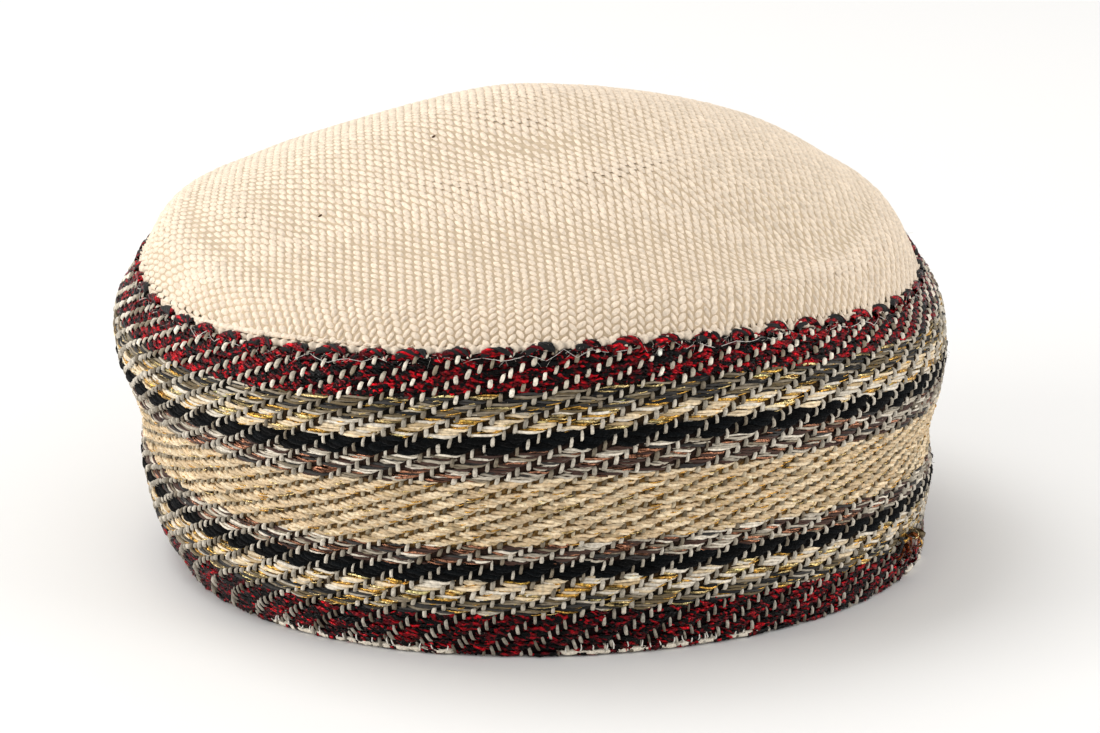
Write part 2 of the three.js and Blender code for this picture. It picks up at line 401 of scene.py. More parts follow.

# Stripes of the band from the hem up. picks are its rows of weft, strands those in each float, strand
# their radius, wide and high the bundle's half sizes, and twist its turns from the middle to an end.
# ground is the ground cloth's colour between the floats, darker than the yarns as painted shade in the gaps,
# and darker in the lower red stripe than the upper
STRIPE_COLUMNS = ("name", "top", "picks", "strands", "strand", "wide", "high", "twist", "yarns", "ground")
STRIPE_ROWS = (
    ("red_lower", 10.5, 8, 4, 0.44, 0.50, 0.32, 1.1, LOW_RED_SHADED, (0.07, 0.01, 0.02)),
    ("gold_lower", 13.8, 4, 3, 0.31, 0.38, 0.24, 0.3, OLIVE, (0.11, 0.09, 0.06)),
    ("cream_lower", 18.4, 4, 3, 0.42, 0.42, 0.28, 0.3, CREAM, (0.24, 0.18, 0.11)),
    ("black_lower", 21.8, 3, 3, 0.56, 0.56, 0.32, 0.3, BLACK, (0.02, 0.02, 0.025)),
    ("copper_lower", 26.3, 5, 3, 0.31, 0.36, 0.24, 0.4, COPPER, (0.20, 0.14, 0.11)),
    ("centre", 40.5, 20, 2, 0.42, 0.26, 0.26, 0.7, CENTRE, (0.50, 0.38, 0.21)),
    ("copper_upper", 46.5, 6, 3, 0.31, 0.36, 0.24, 0.4, COPPER, (0.20, 0.14, 0.11)),
    ("black_upper", 50.0, 3, 3, 0.56, 0.56, 0.32, 0.3, BLACK, (0.02, 0.02, 0.025)),
    ("cream_upper", 54.4, 4, 3, 0.40, 0.40, 0.28, 0.3, CREAM, (0.24, 0.18, 0.11)),
    ("gold_upper", 59.1, 5, 3, 0.32, 0.42, 0.24, 0.3, OLIVE, (0.11, 0.09, 0.06)),
    ("red_upper", 66.6, 8, 4, 0.42, 0.50, 0.32, 1.1, RED, (0.14, 0.02, 0.04)),
)
STRIPES = [dict(zip(STRIPE_COLUMNS, row)) for row in STRIPE_ROWS]
# How each kind of stripe is woven: a float's half length in warps and how uneven that is, how bluntly
# it tapers, how far its ends dive, whether gold threads show between its rows, and its reverse side.
KIND_COLUMNS = ("reach", "uneven", "taper", "dive", "threads", "reverse")
KINDS = {
    "red": (1.82, 0.08, 3.5, 0.8, False, (0.34, 0.05, 0.08)),
    "gold": (1.62, 0.18, 2.5, 1.1, True, (0.42, 0.38, 0.30)),
    "cream": (1.62, 0.18, 2.5, 1.1, True, (0.80, 0.73, 0.58)),
    "black": (1.45, 0.08, 2, 0.8, False, (0.07, 0.07, 0.08)),
    "copper": (1.62, 0.18, 2.5, 1.1, False, (0.55, 0.46, 0.40)),
    "centre": (1.52, 0.08, 3.5, 0.8, True, (0.82, 0.75, 0.60)),
}
for stripe in STRIPES:
    stripe.update(zip(KIND_COLUMNS, KINDS[stripe["name"].split("_")[0]]))
WOOL_STRIPES = [number for number, stripe in enumerate(STRIPES) if stripe["yarns"] is BLACK]
# upright yarns, each over two picks and under two
WARPS = 252
WARP_PITCH = TURN / WARPS
TWILL = 4


def picks():
    """The height, half pitch and stripe of every pick, from the hem up."""
    heights, halves, stripes = [], [], []
    low = 0.0
    for number, stripe in enumerate(STRIPES):
        count = stripe["picks"]
        pitch = (stripe["top"] - low) / count
        heights += [low + pitch * (i + 0.5) for i in range(count)]
        halves += [pitch / 2] * count
        stripes += [number] * count
        low = stripe["top"]
    return np.array(heights), np.array(halves), np.array(stripes)


PICK_HEIGHT, PICK_HALF, PICK_STRIPE = picks()


# Meshes from arrays.


def tubes(path, side, up, wide, high, tint, kind, sides=4, arch=False):
    """Tubes along many paths at once. path, side and up are (tubes, rings, 3), wide and high are the
    half sizes (tubes, rings), tint is (tubes, rings, 3), or (tubes, 3) where a tube has one colour,
    and kind (tubes,) is the material. What is the same for all may be given once. An arch has only
    the upper half, for a yarn that is pressed into the cloth."""
    count, rings = path.shape[:2]
    side, up = [np.broadcast_to(a, path.shape) for a in (side, up)]
    wide, high = [np.broadcast_to(a, (count, rings)) for a in (wide, high)]
    tint = tint[:, None] if tint.ndim == 2 else tint
    turn = (np.arange(sides) + 0.5) * TURN / sides
    if arch:
        turn = np.linspace(math.pi + 0.3, -0.3, sides)
    c, s = np.cos(turn)[:, None], np.sin(turn)[:, None]
    ring = side[:, :, None] * (wide[:, :, None, None] * c) + up[:, :, None] * (high[:, :, None, None] * s)
    points = (path[:, :, None] + ring).reshape(-1, 3)
    first = np.arange(count)[:, None, None] * rings * sides + np.arange(rings - 1)[None, :, None] * sides
    here, after = np.arange(sides), (np.arange(sides) + 1) % sides
    faces = [first + here, first + after, first + sides + after, first + sides + here]
    if arch:
        faces = [corner[..., :-1] for corner in faces[::-1]]
    faces = np.stack(faces, -1).reshape(-1, 4)
    tints = np.repeat(np.broadcast_to(tint, path.shape).reshape(-1, 3), sides, axis=0)
    kinds = np.repeat(np.broadcast_to(kind, count), (rings - 1) * (sides - 1 if arch else sides))
    return points, faces, tints, kinds


def piece(name, parts, materials):
    """One object from arrays of points, faces, tints and material numbers."""
    starts = np.cumsum([0] + [len(part[0]) for part in parts])
    points, tints, kinds = [np.concatenate([part[i] for part in parts]) for i in (0, 2, 3)]
    faces = np.concatenate([part[1] + start for part, start in zip(parts, starts)])
    mesh = bpy.data.meshes.new(name)
    mesh.vertices.add(len(points))
    mesh.vertices.foreach_set("co", (points * MM).astype(np.float32).ravel())
    mesh.loops.add(faces.size)
    mesh.loops.foreach_set("vertex_index", faces.astype(np.int32).ravel())
    mesh.polygons.add(len(faces))
    mesh.polygons.foreach_set("loop_start", np.arange(0, faces.size, 4, dtype=np.int32))
    mesh.update(calc_edges=True)
    mesh.polygons.foreach_set("material_index", kinds.astype(np.int32))
    mesh.polygons.foreach_set("use_smooth", np.ones(len(faces), bool))
    colour = mesh.color_attributes.new("tint", "FLOAT_COLOR", "POINT")
    rgba = np.concatenate([tints, np.ones((len(tints), 1))], 1)
    colour.data.foreach_set("color", rgba.astype(np.float32).ravel())
    mesh.update()
    for m in materials:
        mesh.materials.append(m)
    obj = bpy.data.objects.new(name, mesh)
    bpy.context.scene.collection.objects.link(obj)
    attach(obj, "root")
    return obj


def loft(name, points, coordinates, tints, materials, kinds=None):
    """A ring of rows closed both ways, with the weave's own coordinates at each corner."""
    rows, columns = points.shape[:2]
    row, column = np.meshgrid(np.arange(rows), np.arange(columns), indexing="ij")
    after_row, after_column = (row + 1) % rows, (column + 1) % columns
    corners = [(row, column), (row, after_column), (after_row, after_column), (after_row, column)]
    faces = np.stack([r * columns + c for r, c in corners], -1).reshape(-1, 4)
    if kinds is None:
        kinds = np.zeros(rows, int)
    part = (points.reshape(-1, 3), faces, tints.reshape(-1, 3), np.repeat(kinds, columns))
    obj = piece(name, [part], materials)
    across = np.stack([column, column + 1, column + 1, column], -1) / columns
    along = np.stack([coordinates[r % rows] for r, _ in corners], -1)
    weave = np.stack([across * TURN, along, np.zeros_like(along)], -1)
    attribute = obj.data.attributes.new("weave", "FLOAT_VECTOR", "CORNER")
    attribute.data.foreach_set("vector", weave.astype(np.float32).ravel())
    return obj


def chance(*shape):
    """Random numbers around nought, mostly between -1 and 1."""
    return rng.standard_normal(shape)


def uneven(shape, spread):
    """Random factors around one."""
    return 1 + spread * rng.standard_normal(shape)


def by_tube(a):
    """The same array with its floats and strands joined into one row of tubes."""
    return a.reshape((-1,) + a.shape[2:])


# The band: weft floats over two warps, stepping one warp round for each pick up.

# how far the rows wave up and down, how far the floats stand out of the CAD's face, and how much
# more the wool ones do
ROW_WAVE = 0.22
WEFT_TOP = 0.30
WOOL_RISE = 0.24
# the silk stripes have floats of this many strands
SILK_STRANDS = 4


def row_height(pick, angle):
    """The height of a pick at an angle, with its slow waves."""
    return PICK_HEIGHT[pick] + ROW_WAVE * wander(angle, PICK_HEIGHT[pick], 3.1)


def keep_above_floor(path, least):
    """Lifts what would go through the floor."""
    path[..., 2] = np.maximum(path[..., 2], least)


def float_tints(yarns, count, strands, rings, changes):
    """Chooses each strand's yarn, and changes that share of its colours along the strand. Metal strands are
    painted dark at chance rings, so the rest read as painted glints.
    """
    kinds, colours, shares = yarns
    chosen = rng.choice(len(kinds), size=(count, strands), p=shares)
    tint = np.repeat(colours[chosen][:, :, None], rings, axis=2)
    if changes:
        other = colours[rng.choice(len(kinds), size=(count, strands, rings), p=shares)]
        swap = rng.random((count, strands, rings, 1)) < changes
        tint = np.where(swap, other, tint)
    tint = tint * uneven((count, strands, 1, 1), 0.1)
    # painted glints: four rings in ten of a metal strand are painted at a quarter of its colour
    glint = np.where(rng.random((count, strands, rings, 1)) < 0.4, 0.25, 1.0)
    tint = np.where((kinds[chosen] == METAL)[..., None, None], tint * glint, tint)
    return np.clip(tint, 0.002, 1), kinds[chosen]


def weft_floats(stripe_number, rings):
    """The floats of one stripe, each a bundle of twisted strands that dives at both ends."""
    stripe = STRIPES[stripe_number]
    chosen = np.flatnonzero(PICK_STRIPE == stripe_number)
    around = np.arange(WARPS // TWILL)
    pick, float_number = [a.ravel() for a in np.meshgrid(chosen, around, indexing="ij")]
    count, strands = len(pick), stripe["strands"]
    shape = (count, strands, rings)
    along = np.linspace(-1, 1, rings)
    centre = (TWILL * float_number + pick - 0.5 + 0.12 * chance(count)) * WARP_PITCH
    half = (stripe["reach"] + stripe["uneven"] * chance(count)) * WARP_PITCH
    height = row_height(pick, centre) + 0.13 * chance(count)
    lens = np.sqrt(1 - 0.8 * np.abs(along) ** stripe["taper"])
    phase = TURN * (np.arange(strands) / strands + rng.random((count, 1)))
    phase = phase[:, :, None] + TURN * stripe["twist"] * along * uneven((count, 1, 1), 0.2)
    wide = stripe["wide"] * uneven((count, strands, 1), 0.15)
    lean = PICK_HALF[pick][:, None, None] * 0.5 * along
    angle = centre[:, None, None] + half[:, None, None] * along * uneven((count, strands, 1), 0.05)
    angle = np.broadcast_to(angle, shape)
    up_it = height[:, None, None] + lean + wide * lens * np.cos(phase)
    here, _, rising, out = band_frame(angle, np.clip(up_it, 0.35, SEAM_HEIGHT))
    size, high = stripe["strand"], stripe["high"]
    lift = WEFT_TOP - high - size + stripe["dive"] * (lens - 1) + high * lens * np.sin(phase)
    lift = lift + 0.10 * wander(centre, height, 7.7)[:, None, None]
    lift = lift + 0.09 * chance(count, strands, 1)
    if stripe_number in WOOL_STRIPES:
        lift = lift + WOOL_RISE + 0.5 * (lens - 0.7)
    path = here + out * lift[..., None]
    keep_above_floor(path, 1.1 * size + 0.2)
    thick = size * (0.45 + 0.55 * lens) * uneven((count, strands, 1), 0.1)
    thick = np.broadcast_to(thick, shape)
    if strands == SILK_STRANDS:
        thick = thick * uneven(shape, 0.2)
    changes = 0.3 if strands == SILK_STRANDS else 0.0
    tint, kind = float_tints(stripe["yarns"], count, strands, rings, changes)
    path, rising, out, thick, tint = [by_tube(a) for a in (path, rising, out, thick, tint)]
    return tubes(path, rising, out, thick, thick * 0.9, tint, kind.ravel())


def gold_threads(stripe_number):
    """Thin metal threads that glint in the furrows between the rows of floats."""
    chosen = np.flatnonzero(PICK_STRIPE == stripe_number)
    around = np.arange(WARPS // TWILL)
    pick, float_number = [a.ravel() for a in np.meshgrid(chosen, around, indexing="ij")]
    keep = rng.random(len(pick)) < 0.7
    pick, float_number = pick[keep], float_number[keep]
    count, rings = len(pick), 4
    along = np.linspace(-1, 1, rings)
    centre = (TWILL * float_number + pick - 0.5 + 0.5 * chance(count)) * WARP_PITCH
    angle = centre[:, None] + (0.6 * uneven((count, 1), 0.3)) * along * WARP_PITCH
    height = (row_height(pick, centre) - 0.40)[:, None] + PICK_HALF[pick][:, None] * 0.5 * along
    here, _, rising, out = band_frame(angle, height)
    lift = 0.02 - 0.45 * along**2 + 0.10 * chance(count, 1)
    colours = np.array([linear(COLOURS[name]) for name in ("gold", "pale gold")])
    tint = colours[rng.choice(2, size=count, p=(0.45, 0.55))]
    return tubes(here + out * lift[..., None], rising, out, 0.19, 0.19, tint, METAL, sides=3)


# heights: the centre stripe, where the warps lie deeper and are painted darker as shade, and the red
# stripes, where they are painted darker near the hem as shade and brighter near the top
CENTRE_MIDDLE, CENTRE_HALF = 33.4, 7.5
LOW_RED_TOP = 10
HIGH_RED_STARTS = (57.5, 59)


def warp_floats(first_pick, last_pick):
    """Warp floats over two picks, in the gaps between the weft floats."""
    starts = np.arange(-TWILL, len(PICK_HEIGHT), TWILL)
    warp, start = np.meshgrid(np.arange(WARPS), starts, indexing="ij")
    low = (warp - 2) % TWILL + start
    keep = (low >= first_pick) & (low < last_pick)
    warp, low = warp[keep], low[keep]
    high = np.clip(low + 1, 0, len(PICK_HEIGHT) - 1)
    low = np.maximum(low, 0)
    count, rings = len(warp), 5
    along = np.linspace(-1, 1, rings)
    bottom = PICK_HEIGHT[low] - PICK_HALF[low] * 0.95 - 0.05
    top = PICK_HEIGHT[high] + PICK_HALF[high] * 0.95 + 0.05
    middle, half = (bottom + top) / 2, (top - bottom) / 2
    angle = (warp + 0.07 * chance(count)) * WARP_PITCH
    lean = (0.20 + 0.08 * chance(count)) / BAND_RADIUS
    middle = middle + ROW_WAVE * wander(angle, middle, 3.1)
    height = np.clip(middle[:, None] + half[:, None] * along, 0.3, SEAM_HEIGHT - 0.1)
    angles = angle[:, None] + lean[:, None] * along
    here, round_it, _, out = band_frame(angles, height)
    arch = np.maximum(0, 1 - np.abs(along) ** 4)
    sunk_and_shaded = smoothstep(CENTRE_HALF - np.abs(middle - CENTRE_MIDDLE), 0, 1.5)[:, None]
    lift = -0.72 + 0.68 * arch + 0.06 * chance(count, 1) - 0.30 * sunk_and_shaded
    wool = np.isin(PICK_STRIPE[low], WOOL_STRIPES) | np.isin(PICK_STRIPE[high], WOOL_STRIPES)
    lift = lift + np.where(wool, 0.18, 0)[:, None] * arch
    path = here + out * lift[..., None]
    low_red = (middle < LOW_RED_TOP) & ~wool
    narrow = np.where(wool | low_red, 0.76, 1) * uneven(count, 0.12)
    wide = 0.50 * (0.72 + 0.28 * arch) * narrow[:, None]
    path = path - out * np.where(low_red & (rng.random(count) < 0.3), 0.25, 0.0)[:, None, None]
    colours = np.array([linear(COLOURS[name]) for name in ("light grey", "white", "grey")])
    chosen = rng.choice(3, size=count, p=(0.44, 0.41, 0.15))
    # painted shade: the centre stripe's warps are dimmer and warmer where they lie deeper
    tint = colours[chosen] * uneven((count, 1), 0.08) * (1 - 0.35 * sunk_and_shaded * np.array([0.6, 0.8, 1.2]))
    in_red = smoothstep(middle, *HIGH_RED_STARTS)
    # painted shade: warps among the wool and in the lower red stripe are darker; the rest are dimmed and
    # grow brighter up into the top red stripe
    tint = tint * np.where(wool, 0.8, np.where(low_red, 0.55, 0.78 + 0.34 * in_red))[:, None]
    keep_above_floor(path, 0.45)
    return tubes(path, round_it, out, wide, wide * 0.8, np.clip(tint, 0, 1), WARP, arch=True)


def band_piece(name, *parts):
    """A piece made of the band's own yarns."""
    piece(name, parts, YARNS)


for number, stripe in enumerate(STRIPES):
    parts = [weft_floats(number, rings=7 if stripe["strands"] == SILK_STRANDS else 6)]
    if stripe["threads"]:
        parts.append(gold_threads(number))
    band_piece("weft_" + stripe["name"], *parts)
middle_pick = len(PICK_HEIGHT) // 2
band_piece("warp_lower", warp_floats(-1, middle_pick))
band_piece("warp_upper", warp_floats(middle_pick, len(PICK_HEIGHT)))


# The band's ground cloth, which closes the gaps, painted dark there as shade, and shows the reverse of the
# weave inside.


def band_reverse():
    """The inside of the band: the stripes again, crossed by the slanting lines of the twill."""
    m, tree, shader = material("band_reverse")
    around, up = weave_place(tree)
    limits = {"From Min": 0.0, "From Max": SEAM_HEIGHT}
    height = node(tree, "ShaderNodeMapRange", {"Value": up, **limits}).outputs[0]
    bottoms = [0.0] + [stripe["top"] for stripe in STRIPES]
    stops = [(low / SEAM_HEIGHT, stripe["reverse"]) for low, stripe in zip(bottoms, STRIPES)]
    weft = ramp(tree, height, stops, "CONSTANT")
    warp_number = calculate(tree, "MULTIPLY", around, WARPS / TURN / TWILL)
    pick_number = calculate(tree, "MULTIPLY", up, 1 / TWILL)
    phase = calculate(tree, "FRACT", calculate(tree, "ADD", warp_number, pick_number))
    fold = calculate(tree, "PINGPONG", phase, 0.5)
    show = ramp(tree, fold, grey(0.0, 1.0, start=0.18, end=0.30))
    mix = node(tree, "ShaderNodeMix", {"Factor": show}, data_type="RGBA")
    tree.links.new(weft, mix.inputs["A"])
    mix.inputs["B"].default_value = (*linear((0.74, 0.71, 0.65)), 1)
    fibres = noise(tree, 1400.0, 3.0)
    # painted shade: the fibres darken the colour where their relief sinks
    colour = multiply(tree, mix.outputs["Result"], ramp(tree, fibres, grey(0.55, 1.15)))
    bulge = calculate(tree, "ADD", fold, fibres)
    dress(tree, shader, colour, ramp(tree, fibres, grey(0.7, 0.95)), bulge, 0.9, 0.5)
    return m


GROUND_COLUMNS = 216
TOP_EDGE_TINT = linear((0.60, 0.52, 0.45))
ground_yarn = yarn("band_ground_yarn", (0.7, 0.95), 1600, 0.3, (0.4, 1.0), specular=0.1)
# the cloth's section: up the outside, over the top edge and down the inside
outer = np.concatenate([[0.4, 0.9], np.linspace(2.0, 65.4, 58), [66.2, 66.7]])
inner = np.linspace(66.2, 0.8, 30)
heights = np.concatenate([outer, [66.8], inner, [0.2]])
depths = np.concatenate([[0.9, 0.75], np.full(58, 0.72), [0.9, 1.3], [1.8], np.full(30, 2.55), [1.9]])
angles = np.arange(GROUND_COLUMNS) * TURN / GROUND_COLUMNS
grid_angle, grid_height = np.meshgrid(angles, heights)
band_rows = band_point(grid_angle, grid_height, depths[:, None])
# painted shade: the outside of the ground cloth takes each stripe's dark ground colour, so the gaps between
# floats look deep
gap_shade_tint = np.zeros(band_rows.shape)
for row, height in enumerate(heights):
    number = min(sum(height > stripe["top"] for stripe in STRIPES), len(STRIPES) - 1)
    gap_shade_tint[row] = TOP_EDGE_TINT if height > 66.3 else linear(STRIPES[number]["ground"])
kinds = np.where(np.arange(len(heights)) < len(outer), 0, 1)
band_materials = [ground_yarn, band_reverse()]
band_ground = loft("band_ground", band_rows, heights, gap_shade_tint, band_materials, kinds)
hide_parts("band")


# The crown: a cream cloth whose floats lie in columns from front to back.


def crown_cloth_material():
    """Cream cotton with fine slubs, seen between the yarns and inside the cap."""
    m, tree, shader = material("crown_ground")
    fibres = noise(tree, 900.0, 4.0)
    slubs = noise(tree, 1.0, 2.0, (500, 60, 60))
    # painted shade: the fibres are darker where their relief is low; the slubs are the cotton's own tone
    colour = multiply(tree, own_tint(tree), ramp(tree, fibres, grey(0.8, 1.0)))
    colour = multiply(tree, colour, ramp(tree, slubs, grey(0.88, 1.0)))
    dress(tree, shader, colour, ramp(tree, fibres, grey(0.8, 0.98)), fibres, 0.8, 0.25)
    shader.inputs["Specular IOR Level"].default_value = 0.25
    shader.inputs["Sheen Weight"].default_value = 0.1
    return m


# the ground cloth between the crown's yarns: its own cream, made darker and warmer than the yarns as painted
# shade in the gaps
CROWN_GROUND_AND_SHADE_TINT = linear((0.87, 0.78, 0.66))
CROWN_INSIDE_TINT = linear((0.86, 0.80, 0.66))
CROWN_YARN_TINT = linear((0.915, 0.848, 0.765))
CROWN_GROUND_COLUMNS = 144
# how far the ground cloth lies under the yarns' mean surface, and how much thinner that makes it
CROWN_GROUND_SINK = 0.33
CROWN_GROUND_LOSS = 0.45
# the edge tucked in behind the band: height, and depth inside the band's outer face
CROWN_TUCK = ((66.0, 3.1), (63.0, 3.0), (59.2, 3.0), (59.2, 4.6), (63.0, 4.7), (66.0, 5.4))
reaches = np.array([0.004, 0.1, 0.2, 0.3, 0.4, 0.5, 0.58, 0.66, 0.73, 0.79, 0.84, 0.885, 0.92, 0.95, 0.985])
crown_angles = np.arange(CROWN_GROUND_COLUMNS) * TURN / CROWN_GROUND_COLUMNS
plan = band_point(crown_angles, SEAM_HEIGHT)[None, :, :2] * reaches[:, None, None]
top_face = crown_frame(plan[..., 0], plan[..., 1], -CROWN_GROUND_SINK)[0]
tuck = np.stack([band_point(crown_angles, height, depth) for height, depth in CROWN_TUCK])
under = top_face[::-1].copy()
under[..., 2] -= CROWN_THICKNESS - CROWN_GROUND_LOSS
crown_rows = np.concatenate([top_face, tuck, under])
crown_tint = np.broadcast_to(CROWN_GROUND_AND_SHADE_TINT, crown_rows.shape).copy()
crown_tint[len(reaches):] = CROWN_INSIDE_TINT
row_numbers = np.arange(len(crown_rows), dtype=float)
crown_materials = [crown_cloth_material()]
crown_ground = loft("crown_ground", crown_rows, row_numbers, crown_tint, crown_materials)
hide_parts("crown")

# distances between the columns of floats, and between the floats of a column
CROWN_COLUMN_PITCH = 1.84
CROWN_FLOAT_PITCH = 2.85
# towards the front, from this row on, the floats are closer
CROWN_FRONT_ROW = 16
CROWN_FRONT_PITCH = 2.2
# from the middle of the cloth to past its edge, measured along it
CROWN_CLOTH_REACH = 103
CROWN_FLECKS = ((-45.0, -37.6), (-21.2, -14.2))


def cloth_to_plan(u, v):
    """From distances along the cloth, measured from its middle, to the plan."""
    reach = np.linspace(0, 1, 201)
    rise = sum(column_at(CROWN_SECTIONS, column, reach) for column in range(1, 5)) / 4
    flat_reach = reach * SEAM_RADIUS
    along = np.concatenate([[0], np.cumsum(np.hypot(np.diff(flat_reach), np.diff(rise)))])
    far = np.hypot(u, v)
    shrink = np.interp(far, along, flat_reach) / np.maximum(far, 1e-6)
    shrink = np.where(far < 1e-3, 1, shrink)
    return u * shrink, v * shrink


def crown_floats():
    """The crown's floats, slanting one way, and near the front in every other column the other way."""
    column, row = np.meshgrid(np.arange(-62, 63), np.arange(-46, 40), indexing="ij")
    column, row = column.ravel(), row.ravel()
    place = row + 0.5 * (column % 2)
    front = np.minimum(0, place + CROWN_FRONT_ROW)
    v = place * CROWN_FLOAT_PITCH - front * (CROWN_FLOAT_PITCH - CROWN_FRONT_PITCH)
    u = column * CROWN_COLUMN_PITCH * (1 - 0.0005 * v) - 0.06 * v
    u = u + 0.25 * np.sin(v / 17 + column / 9)
    u = u + 0.05 * chance(len(u))
    v = v + 0.06 * chance(len(v))
    x, y = cloth_to_plan(u, v)
    keep = (np.hypot(u, v) < CROWN_CLOTH_REACH) & (crown_height(x, y)[1] < 0.997)
    u, v, front = u[keep], v[keep], front[keep]
    count, rings = len(u), 5
    along = np.linspace(-1, 1, rings)
    zigzag = smoothstep(-v, 66, 88) * (column[keep] % 2)
    slant = 0.42 - 0.90 * zigzag + 0.06 * chance(count)
    length = 1.95 * uneven(count, 0.04) * (1 - 0.34 * smoothstep(-front, 0, 5))
    x, y = cloth_to_plan(
        u[:, None] + length[:, None] * np.sin(slant)[:, None] * along,
        v[:, None] - length[:, None] * np.cos(slant)[:, None] * along,
    )
    lens = np.sqrt(np.maximum(0, 1 - 0.9 * along**2))
    lift = -0.36 + 0.36 * (lens - 1) + 0.025 * chance(count, 1)
    path, right, _, out, _ = crown_frame(x, y, lift)
    wide = 0.78 * (0.35 + 0.65 * lens) * uneven((count, 1), 0.05)
    tint = np.clip(CROWN_YARN_TINT * uneven((count, 1), 0.035), 0, 1)
    return tubes(path, right, out, wide, wide * 0.55, tint, 0, arch=True)


crown_yarn = yarn("crown_yarn", (0.65, 0.9), 1500, 0.10, (0.88, 1.0), sheen=0.05, specular=0.2)


def crown_flecks():
    """Two dark specks of husk left in the cotton."""
    x, y = np.array(CROWN_FLECKS).T
    along = np.array([-0.4, 0.0, 0.4])
    path, _, back, out, _ = crown_frame(x[:, None] + along, y[:, None] + 0.5 * along, 0.1)
    size = (0.12, 0.3, 0.12)
    return tubes(path, back, out, size, size, linear((0.33, 0.24, 0.16)), 0)


crown_weave = piece("crown_weave", [crown_floats(), crown_flecks()], [crown_yarn])


def crown_roll():
    """The crown's edge, rolled where it is sewn behind the top of the band, painted darker between its lumps
    as shade.
    """
    count = 1200
    angle = np.arange(count + 1) * TURN / count
    here, _, _, out = band_frame(angle, np.full(count + 1, SEAM_HEIGHT))
    up = np.array([0.0, 0.0, 1.0])
    path = here - out * 1.9 + up * (0.52 + 0.15 * np.sin(angle * 71))[:, None]
    lumps = (1.0 + 0.22 * np.sin(angle * 240 + 1.5 * np.sin(angle * 7)) + 0.08 * np.sin(angle * 97))[None]
    # painted shade: the roll is darker where it thins between its lumps
    tint = CROWN_YARN_TINT * (0.72 + 0.25 * np.clip((lumps - 0.8) / 0.3, 0, 1))[..., None]
    return tubes(path[None], out[None], up, 1.6 * lumps, 1.15 * lumps, tint, 0, sides=6)


crown_edge = piece("crown_edge", [crown_roll()], [crown_yarn])


# The facing inside the hem, and the cream edge that peeks out under it.


def facing_material():
    """Cream cotton with a fine plain weave."""
    m, tree, shader = material("facing_cotton")
    around, up = weave_place(tree)
    ridge = calculate(tree, "SINE", calculate(tree, "MULTIPLY", around, 420.0))
    rib = calculate(tree, "SINE", calculate(tree, "MULTIPLY", up, 5.2))
    crossed = calculate(tree, "MULTIPLY", ridge, rib)
    fibres = noise(tree, 1200.0, 3.0)
    # painted shade: the fibres and the weave's crossings are painted darker where their relief sinks
    colour = multiply(tree, own_tint(tree), ramp(tree, fibres, grey(0.8, 1.0)))
    colour = multiply(tree, colour, ramp(tree, crossed, grey(0.86, 1.0)))
    relief = calculate(tree, "ADD", crossed, fibres)
    dress(tree, shader, colour, ramp(tree, fibres, grey(0.75, 0.95)), relief, 0.7, 0.2)
    return m


# the facing's section: height, and depth inside the band's outer face
FACING_SECTION = (
    (0.5, 3.0), (0.3, 3.5), (0.5, 4.0), (2, 4.2), (4, 4.2), (6, 4.2), (8, 4.2), (10, 4.2),
    (12, 4.2), (12.8, 4.1), (13.0, 3.6), (12.6, 3.0), (10, 2.9), (7, 2.9), (4, 2.9), (2, 2.9),
)
facing_heights, facing_depths = np.array(FACING_SECTION).T
facing_angle, facing_height = np.meshgrid(angles, facing_heights)
facing_rows = band_point(facing_angle, facing_height, facing_depths[:, None])
facing_tint = np.broadcast_to(linear((0.88, 0.83, 0.72)), facing_rows.shape)
facing_materials = [facing_material()]
facing_band = loft(
    "facing_band", facing_rows, facing_heights, facing_tint, facing_materials
)
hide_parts("hem_facing")

# Where the cream edge shows below the red stripe: middle of the stretch in degrees, half width.
PEEKS = (
    (-42, 3), (-37, 2.5), (-24, 9), (14, 12), (24, 2), (31, 2), (75, 5), (120, 12), (170, 9),
    (-130, 14), (-95, 4),
)


def hem_edge():
    """The facing's rolled edge, which comes out under the band where PEEKS says."""
    count = 500
    angle = np.arange(count + 1) * TURN / count
    show = np.zeros(count + 1)
    degrees = (np.degrees(angle) + 180) % 360 - 180
    for middle, width in PEEKS:
        off = np.abs((degrees - middle + 180) % 360 - 180)
        show = np.maximum(show, smoothstep(width + 2 - off, 0, 2.5))
    ragged = 0.16 * np.sin(angle * 61) + 0.12 * np.sin(angle * 173) + 0.08 * chance(count + 1)
    depth = 2.2 - (1.75 + ragged) * show
    here, _, rising, out = band_frame(angle, np.full(count + 1, 0.86))
    path = here - out * depth[:, None]
    roll = 0.60 + 0.12 * np.sin(angle * 140) + 0.08 * np.sin(angle * 227)
    keep_above_floor(path, roll)
    tint = linear((0.90, 0.86, 0.79))
    return tubes(path[None], out[None], rising[None], roll, roll, tint, 0, sides=6)


def whip_stitches():
    """White stitches that wrap the hem."""
    chosen = []
    for middle, width in PEEKS:
        chosen += list(np.arange(middle - width, middle + width, 1.9))
    chosen = np.radians(np.array(chosen) + 0.3 * chance(len(chosen)))
    count, rings = len(chosen), 7
    along = np.linspace(0, 1, rings)
    height = 0.55 + 2.0 * along**1.5 + 0.3 * chance(count, 1) * along
    depth = 2.0 * (1 - along) ** 2 - 0.55 * np.sin(np.pi * along) ** 0.8 + 0.5 * along**4
    lean = (0.5 + 0.3 * chance(count, 1)) / HEM_RADIUS
    angle = chosen[:, None] + lean * along * 2
    here, round_it, _, out = band_frame(angle, height)
    path = here - out * depth[..., None]
    path = path + 0.08 * chance(*path.shape)
    keep_above_floor(path, 0.3)
    return tubes(path, round_it, out, 0.17, 0.17, linear((0.92, 0.90, 0.86)), 0)


white_thread = yarn("white_thread", (0.5, 0.7), 2400, 0.08, (0.8, 1.0), specular=0.4)
hem_trim = piece("hem_edge", [hem_edge(), whip_stitches()], [white_thread])


# The top edge: loops of the weft turned over the crown, and the white thread that sews them down.


